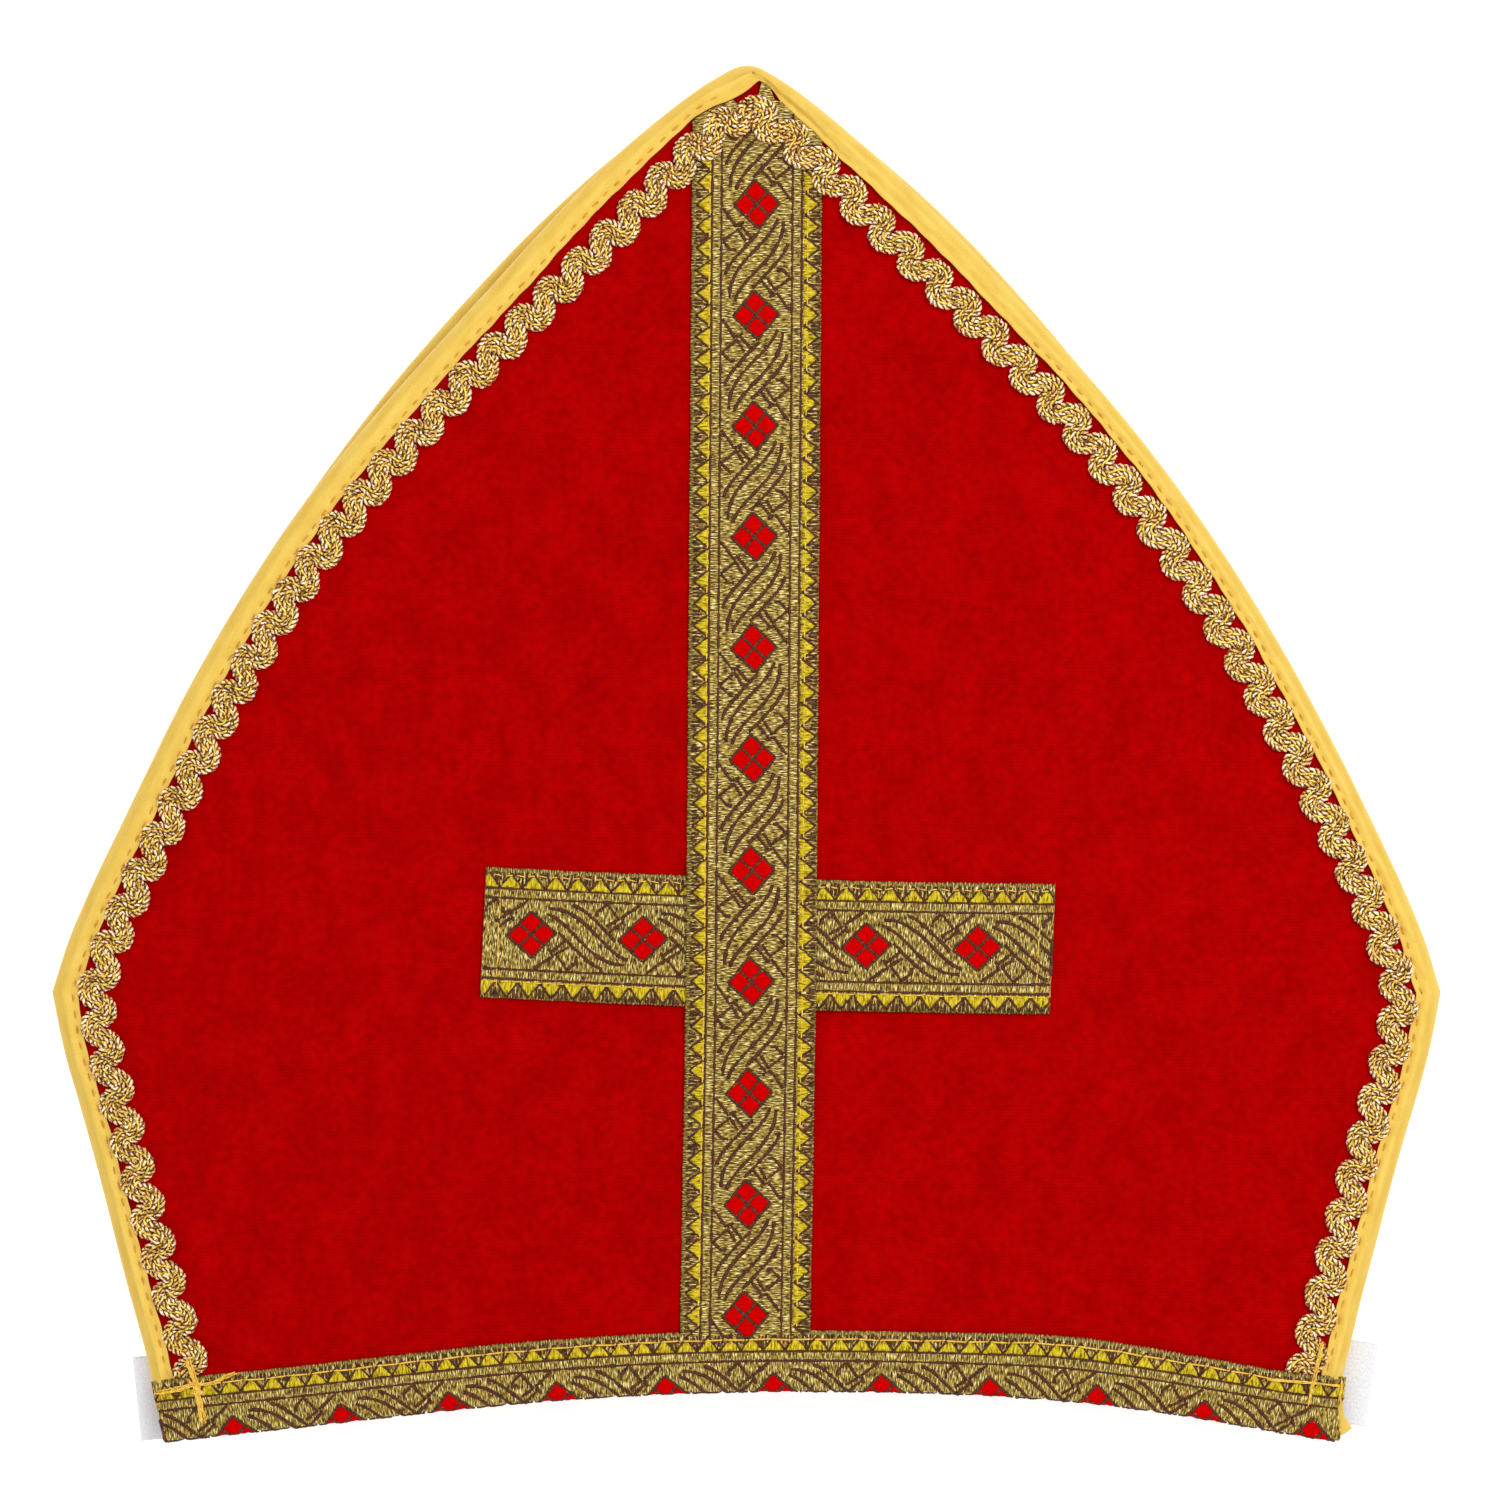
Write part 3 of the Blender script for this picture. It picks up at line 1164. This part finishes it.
# %% The gimp's finishes
twist_gold, shader = finish("gimp_twist", Metallic=0.15, Roughness=0.4, Specular_IOR_Level=0.5)
crest = node(twist_gold, "Attribute", attribute_name="crest").outputs["Fac"]
speck = texture_at(twist_gold, "Object", EVEN, 1500, 2)
ply_colour = ramp(
    twist_gold, node(twist_gold, "MapRange", {"Value": crest, "From Min": -1.0}).outputs[0],
    [(0.0, (0.018, 0.009, 0.001)), (0.24, (0.17, 0.075, 0.003)), (0.40, (0.92, 0.56, 0.12)),
     (0.58, (1.0, 0.82, 0.52)), (1.0, (1.0, 0.94, 0.92))],
)
speck_shade = ramp(
    twist_gold, speck,
    [(0.38, (0.16, 0.10, 0.03)), (0.46, (0.92, 0.80, 0.60)), (0.58, (1.20, 1.15, 1.14))],
)
blotch = texture_at(twist_gold, "Object", EVEN, 640, 1)
blotch_shade = ramp(
    twist_gold, blotch, [(0.42, (0.84, 0.62, 0.23)), (0.54, (1.08, 1.05, 1.06))]
)
coloured(twist_gold, shader, shaded(twist_gold, ply_colour, speck_shade, blotch_shade))
bumped(twist_gold, shader, speck, 0.0002, 0.5)

thin_gold = plain_finish(
    "gimp_gold", ("Object", EVEN, 1300, 2),
    [(0.40, (0.14, 0.055, 0.002)), (0.48, (0.80, 0.48, 0.020)), (0.62, (1.0, 0.86, 0.16))],
    distance=0.0001, strength=0.5, Metallic=0.3, Roughness=0.35, Specular_IOR_Level=0.5,
)
core = plain_finish(
    "gimp_core", ("Object", EVEN, 1500, 2),
    [(0.38, (0.110, 0.014, 0.002)), (0.62, (0.56, 0.060, 0.006))],
    distance=0.0002, strength=0.5, Roughness=0.8, Specular_IOR_Level=0.2,
)

# %% The gimp's middle line
GIMP_PITCH = 9.85
SCROLL = GIMP_PITCH / 4  # the radius of the bundle's middle
GIMP_AT = [0, 0.6, 1.0, 1.4, 1.85, 1.93, 2.0]
GIMP_LEFT = [10.4, 9.6, 10.4, 10.6, 12.9, 12.0, 10.3]
GIMP_RIGHT = [9.8, 9.6, 9.8, 10.2, 11.8, 10.5, 10.1]


def gimp_inset(side, at):
    """How far the middle line lies inside the outline."""
    left, right = np.interp(at, GIMP_AT, GIMP_LEFT), np.interp(at, GIMP_AT, GIMP_RIGHT)
    return np.where(side < 0, left, right)


side, at, _ = stations(0.5)
rail_inset = gimp_inset(side, at)
rail_leg = binding_leg(side, at)
rail_x, rail_y = edge_place(side, at, rail_inset, HEM_LEG - 5.0)
rail_x, rail_y = (
    np.convolve(np.pad(line, 9, "reflect", reflect_type="odd"), soften, "valid")
    for line in (rail_x, rail_y)
)
rail_run = np.concatenate([[0], np.cumsum(np.hypot(np.diff(rail_x), np.diff(rail_y)))])
rail_dx, rail_dy = np.gradient(rail_x, rail_run), np.gradient(rail_y, rail_run)
apex_run = np.interp(0.0, rail_x, rail_run)
print("the gimp is", round(rail_run[-1]), "mm long, apex at", round(apex_run))


# %% A place on the gimp
def on_gimp(along, across, lift):
    """A place along the middle line and across it, outwards positive. It climbs a little where
    it meets the binding, and where it passes over the upright's end, and it dips under the
    hem's braid."""
    x = np.interp(along, rail_run, rail_x) - across * np.interp(along, rail_run, rail_dy)
    y = np.interp(along, rail_run, rail_y) + across * np.interp(along, rail_run, rail_dx)
    room = np.interp(along, rail_run, rail_inset - rail_leg) - across
    on_tape = 0.75 * smoothstep(-room, -0.9, 0.5)
    on_end = 0.85 * (1 - smoothstep(np.abs(x - 2.0), 14.5, 17.5)) * smoothstep(y, 120, 130)
    tucked = 1.7 * (1 - smoothstep(y - hem_line(x, HEM_LEG), -0.4, 1.8))
    return lay(x, y, TRIM_INNER + lift + np.maximum(on_tape, on_end) - tucked)


# %% The gimp's cords
FIRST_SWING = (apex_run + 2.4) % GIMP_PITCH - GIMP_PITCH
SCROLL_LEAN = 0.16
SCROLL_WAVE = 0.16
THICK_CORDS = ((-1.85, 0.60), (-0.02, 0.52), (1.85, 0.60))  # offset and radius
THICK_LIFT = 0.62
THIN_OFFSETS = (-0.98, 0.94)
PLY = 0.34
BEAD = 1.45


def scroll(offset, step, lift):
    """One cord of the bundle, `offset` to one side of its middle. Half circle number h has its
    middle at h * 2 * SCROLL, swings outwards if h is even and inwards if it is odd, and
    its radius is SCROLL plus or minus the offset. The circles lean a little along the
    gimp. Returned at even lengths."""
    swings = np.arange(0, (rail_run[-1] - FIRST_SWING) / (2 * SCROLL), 1 / 40)
    number = np.floor(swings)
    turn = np.pi * (swings - number)
    outward = 1 - 2 * (number % 2)
    radius = SCROLL + outward * offset
    along = FIRST_SWING + number * 2 * SCROLL - radius * np.cos(turn)
    across = outward * radius * np.sin(turn) * 0.97
    along = along + SCROLL_LEAN * across
    wave = lift + SCROLL_WAVE * np.sin(2 * turn + offset)
    run = np.concatenate([[0], np.cumsum(np.hypot(np.diff(along), np.diff(across)))])
    even = np.arange(0, run[-1], step)
    along, across = np.interp(even, run, along), np.interp(even, run, across)
    keep = (along > 0.5) & (along < rail_run[-1] - 0.5)
    return along[keep], across[keep], np.interp(even, run, wave)[keep]


def gimp(name, low, high):
    """The cords of one side of the gimp, cut where the other side takes over. The thick
    cords sway and swell a little."""
    thick = []
    for offset, size in THICK_CORDS:
        along, across, lift = scroll(offset, 0.27, THICK_LIFT)
        keep = (along >= low) & (along < high)
        loose = 0.20 * wander(along[keep], int(10 * offset) + 40, (0.9, 1.7, 3.9))
        path = on_gimp(along[keep], across[keep] + loose, lift[keep])
        uneven = size * (1 + 0.14 * wander(along[keep], int(10 * offset) + 60, (0.6, 1.3, 2.9)))
        thick.append(cords(path[None], uneven[None], 7, 0.9, ply=PLY, bead=BEAD))
    thin = []
    for offset in THIN_OFFSETS:
        along, across, lift = scroll(offset, 0.5, 0.75)
        keep = (along >= low) & (along < high)
        path = on_gimp(along[keep], across[keep], lift[keep])
        thin.append(cords(path[None], 0.33, 6, 1.0))
    twisted = joined(name, thick, twist_gold, crested=True)
    joined(name + "_gold", thin, thin_gold)
    return twisted


def gimp_core(name):
    """The dark ground under the cords: a low flat cord that follows the bundle's middle."""
    along, across, _ = scroll(0.0, 0.45, 0.0)
    path = on_gimp(along, np.clip(across, -2.2, 2.2), 0.16)
    points, faces, uv, _ = cords(path[None], 1.45, 6, 0.12)
    return piece(name, points, faces, [core], uv=uv)


left_gimp = gimp("gimp_left", 0.0, apex_run)
gimp("gimp_right", apex_run, rail_run[-1])
gimp_core("gimp_core")
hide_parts("scroll_gimp")

# %% [markdown]
# ## Sewing threads
# The braid is sewn down with a yellow thread that shows as a row of stitches on each border,
# and as heavier bundles of thread at the hem corners. A stitch row is one cord that rises
# between its holes and dips into each of them. A bundle is a few strands, each a little
# aside of the last.

# %% Threads
thread = plain_finish(
    "sewing_thread", ("Object", EVEN, 1200, 2),
    [(0.35, (0.76, 0.40, 0.025)), (0.55, (0.93, 0.58, 0.070)), (0.75, (1.0, 0.76, 0.20))],
    distance=0.0001, strength=0.5, Roughness=0.5, Specular_IOR_Level=0.35,
)
THREAD = 0.19  # radius of a stitched thread
ROW_PITCH = 2.75
STRAND_POINTS = 16


def stitch_row(carry, across, start, end, pitch, zigzag=0.0, size=THREAD, sunk=0.48):
    """A row of stitches: the cord's lift is a rounded wave that dips by `sunk` below the
    braid's face at every hole, and its holes lie to and fro by `zigzag`."""
    along = np.arange(start, end, 0.32)
    dip = np.abs(np.sin(np.pi * along / pitch))
    sway = across + zigzag * (2 * np.abs((along / pitch) % 2 - 1) - 1)
    sway = sway + 0.08 * wander(along, int(abs(across) * 10) + 1, (11.0, 23.0))
    return cords(carry(sway, along, -sunk + (sunk + 0.24) * dip)[None], size, 5)


def over_bar(place, across, lift):
    """A row that crosses the bar near an end."""
    return on_bar(across, place, lift)


def bartack(points, strands, spread, stray=0.0):
    """A bundle of threads through a few points (x, y): each strand is moved aside at random
    by `spread`, and each of its points by `stray`, and it sags into the braid at both ends.
    Over the gimp and its gap the bundle stands higher."""
    points = np.array(points, float)
    share = np.linspace(0, len(points) - 1, STRAND_POINTS)
    number = np.arange(len(points))
    base = np.stack([np.interp(share, number, points[:, k]) for k in (0, 1)], -1)
    aside = spread * chance.standard_normal((strands, len(points), 2))
    aside = np.stack(
        [[np.interp(share, number, one[:, k]) for k in (0, 1)] for one in aside]
    ).transpose(0, 2, 1)
    lines = base + aside + stray * chance.standard_normal((strands, STRAND_POINTS, 2))
    x, y = lines[..., 0], lines[..., 1]
    over_gimp = 1.3 * smoothstep(y - hem_line(x, HEM_LEG), -0.5, 1.5)
    ends = np.abs(2 * share / share[-1] - 1) ** 6
    height = TRIM_OUTER + 0.32 + over_gimp - 0.8 * ends + chance.uniform(0, 0.3, (strands, 1))
    return cords(lay(x, y, height), THREAD, 5)


# %% Rows and bundles of thread
bar_start, bar_end = BAR["left"], BAR["right"]
cross_rows = [
    stitch_row(on_upright, -11.55, UPRIGHT_LOW + 3, 148, ROW_PITCH),
    stitch_row(on_upright, 12.6, UPRIGHT_LOW + 3, 140, ROW_PITCH),
    stitch_row(on_bar, -14.2, bar_start + 1, bar_end - 1, ROW_PITCH, zigzag=0.25, size=0.16),
    stitch_row(on_bar, 11.9, bar_start + 1, bar_end - 1, ROW_PITCH, size=0.16),
    stitch_row(over_bar, bar_start + 3.8, -14.2, 14.0, ROW_PITCH, zigzag=0.1, size=0.16),
    stitch_row(over_bar, bar_end - 3.5, -14.2, 14.0, ROW_PITCH, zigzag=0.1, size=0.16),
]
joined("cross_threads", cross_rows, thread)
hem_rows = [
    stitch_row(on_hem, -13.9, -144.0, 149.5, 5.5, zigzag=0.14, size=0.22, sunk=0.12),
    bartack([(-138.3, -149.9), (-135.9, -155.9), (-134.1, -166.0)], 9, 0.38, 0.09),
    bartack([(-146.0, -158.3), (-140.3, -156.9), (-134.9, -155.6)], 4, 0.40, 0.10),
    bartack([(-137.6, -156.6), (-132.0, -155.2), (-126.7, -153.1)], 4, 0.45, 0.12),
    bartack(
        [(-138.0, -155.0), (-134.5, -158.2), (-137.6, -157.8), (-134.2, -154.8)], 4, 0.6, 0.1
    ),
    bartack([(127.8, -154.6), (138.0, -155.4), (147.2, -156.4)], 3, 0.15, 0.04),
    bartack([(142.0, -145.6), (139.8, -153.9), (138.5, -161.3)], 4, 0.25, 0.05),
    bartack([(146.8, -155.2), (146.6, -157.0), (146.2, -160.2)], 3, 0.20, 0.04),
]
joined("hem_threads", hem_rows, thread)

# %% The binding's end at the right corner
def binding_tail(name):
    """The end of the tape that sticks out past the hem's braid: a small flap, 0.8 thick, that
    widens downwards and turns down at its outer side."""
    outline_y = [-168.7, -168.0, -166.9, -165.7, -163.6, -159.3, -156.5]
    outline_x = [146.3, 148.0, 149.5, 148.8, 147.4, 147.0, 147.2]
    hidden_x = 143.6  # its inner end, under the braid
    y = np.linspace(outline_y[0], outline_y[-1], 28)[:, None]
    out = np.interp(y, outline_y, outline_x)
    x = hidden_x + (out - hidden_x) * np.linspace(0, 1, 12)[None]
    puff = 0.35 * np.sin(np.pi * (x - hidden_x) / (out - hidden_x))
    puff = puff + 0.10 * wander(y * 1.7 + x, 31, (2.1, 4.0))
    drop = 0.9 * smoothstep(x, 146.5, 149.5)
    points, faces, _ = slab(lay(x, y, 1.2 + puff - drop), lay(x, y, 0.4 - drop))
    return piece(name, points, [faces], [tape], uv=slab_uv(x, y))


tail = binding_tail("front_binding_tail")

# %% [markdown]
# ## Elastic loops
# Two short tapes of white elastic join the panels at the hem corners. Each is a loop: one leg lies
# on the rear panel, the other under the front panel, with a round bend just past the edge.

# %% Elastic
web = plain_finish(
    "elastic_web", ("UV", EVEN, 1500, 2),
    [(0.3, (0.77, 0.76, 0.78)), (0.7, (0.92, 0.91, 0.94))],
    distance=0.0002, strength=0.5, Roughness=0.75, Specular_IOR_Level=0.2, Sheen_Weight=0.1,
)
ELASTIC_WIDTH = 20.6
ELASTIC_HALF = 0.5  # half its thickness
ELASTIC_RUN = 55.0
ELASTIC_ROOT = 128  # x where the hidden legs end
LEG_STEPS = 8


def elastic(name, side, edge, reach, from_y, turn):
    """The loop's section is a low leg on the rear panel, half an ellipse that reaches out to
    x = `reach`, and a high leg that follows the front panel's bow. It is carried along the
    tape's width, with fine ribs and rough sides, and turned a little about its bend."""
    low = REAR_MIDDLE + TRIM_OUTER + 1.0
    angle = np.linspace(-np.pi / 2, np.pi / 2, 17)
    into = np.linspace(ELASTIC_ROOT, edge, LEG_STEPS)[:-1]
    back = np.linspace(edge, ELASTIC_ROOT, LEG_STEPS)[1:]
    under_front = FRONT_MIDDLE - TRIM_OUTER - 1.4
    high, high_back = (under_front + bow(x, from_y - 10) for x in (edge, back))
    bend, half = (low + high) / 2, (high - low) / 2
    width = np.linspace(0, ELASTIC_WIDTH, 61)[None]
    rib = 0.07 * np.cos(2 * np.pi * width)
    grids = []
    for offset in (ELASTIC_HALF, -ELASTIC_HALF):
        round_bend = edge + (reach - edge - ELASTIC_HALF + offset) * np.cos(angle)
        r = np.concatenate([into, round_bend, back])[:, None] + 0 * width
        z = np.concatenate([0 * into + low - offset, bend + (half + offset) * np.sin(angle),
                            high_back + offset])
        z = z[:, None] + rib * np.sign(offset)
        rough = (width < 0.1) | (width > ELASTIC_WIDTH - 0.1)
        saw = 0.12 * np.sin(np.arange(len(r)) * 2.4)[:, None] * rough
        x, y = side * (r - edge), -width + saw
        turned_x = side * edge + x * np.cos(turn) - y * np.sin(turn)
        turned_y = from_y + x * np.sin(turn) + y * np.cos(turn)
        grids.append(np.stack([turned_x, turned_y, z], -1))
    points, faces, _ = slab(*grids)
    run = np.linspace(0, ELASTIC_RUN, len(grids[0]))[:, None]
    made = piece(name + "_web", points, [faces], [web], uv=slab_uv(width, run))
    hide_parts(name)
    return made


left_loop = elastic("elastic_left", -1, edge=147.0, reach=152.2, from_y=-149.2, turn=0.1)
right_loop = elastic("elastic_right", 1, edge=147.6, reach=156.6, from_y=-145.0, turn=-0.16)

# %% [markdown]
# ## Telling the frame what is cloth
# Sheets are declared with the size they were cut to. A panel is cut from a piece as wide and
# tall as itself; the braids and the tape are long strips.

# %% [markdown]
# ## Table and light
# A white table and soft light: a bright even sky, and one large lamp from the upper right
# that leaves small shadows under the gimp and beside the cross.

# %% Floor, lamp and sky
FLOOR_GLOW = 0.55  # keeps the table near white
FLOOR_LEVEL = -0.0004  # just under the raised yarns of the rear hem
LAMP_POWER = 7.5
SKY_STRENGTH = 0.88

floor_mesh = bpy.data.meshes.new("floor")
floor_mesh.from_pydata([(-3, -3, 0), (3, -3, 0), (3, 3, 0), (-3, 3, 0)], [], [(0, 1, 2, 3)])
floor_paint, shader = finish("floor_paint", Roughness=0.9, Specular_IOR_Level=0.1)
shader.inputs["Base Color"].default_value = (0.85, 0.85, 0.85, 1)
shader.inputs["Emission Color"].default_value = (1, 1, 1, 1)
shader.inputs["Emission Strength"].default_value = FLOOR_GLOW
floor_mesh.materials.append(floor_paint)
floor = bpy.data.objects.new("floor", floor_mesh)
floor.location.z = FLOOR_LEVEL
scene.collection.objects.link(floor)

lamp_data = bpy.data.lights.new("lamp", "AREA")
lamp_data.shape = "SQUARE"
lamp_data.size = 0.5
lamp_data.energy = LAMP_POWER
lamp = bpy.data.objects.new("lamp", lamp_data)
lamp.location = (0.65, 0.70, 1.2)
lamp.rotation_euler = lamp.location.to_track_quat("Z", "Y").to_euler()
scene.collection.objects.link(lamp)

world = bpy.data.worlds.new("sky")
world.use_nodes = True
sky = world.node_tree.nodes["Background"]
sky.inputs["Color"].default_value = (1, 1, 1, 1)
sky.inputs["Strength"].default_value = SKY_STRENGTH
scene.world = world
scene.view_settings.view_transform = "Standard"
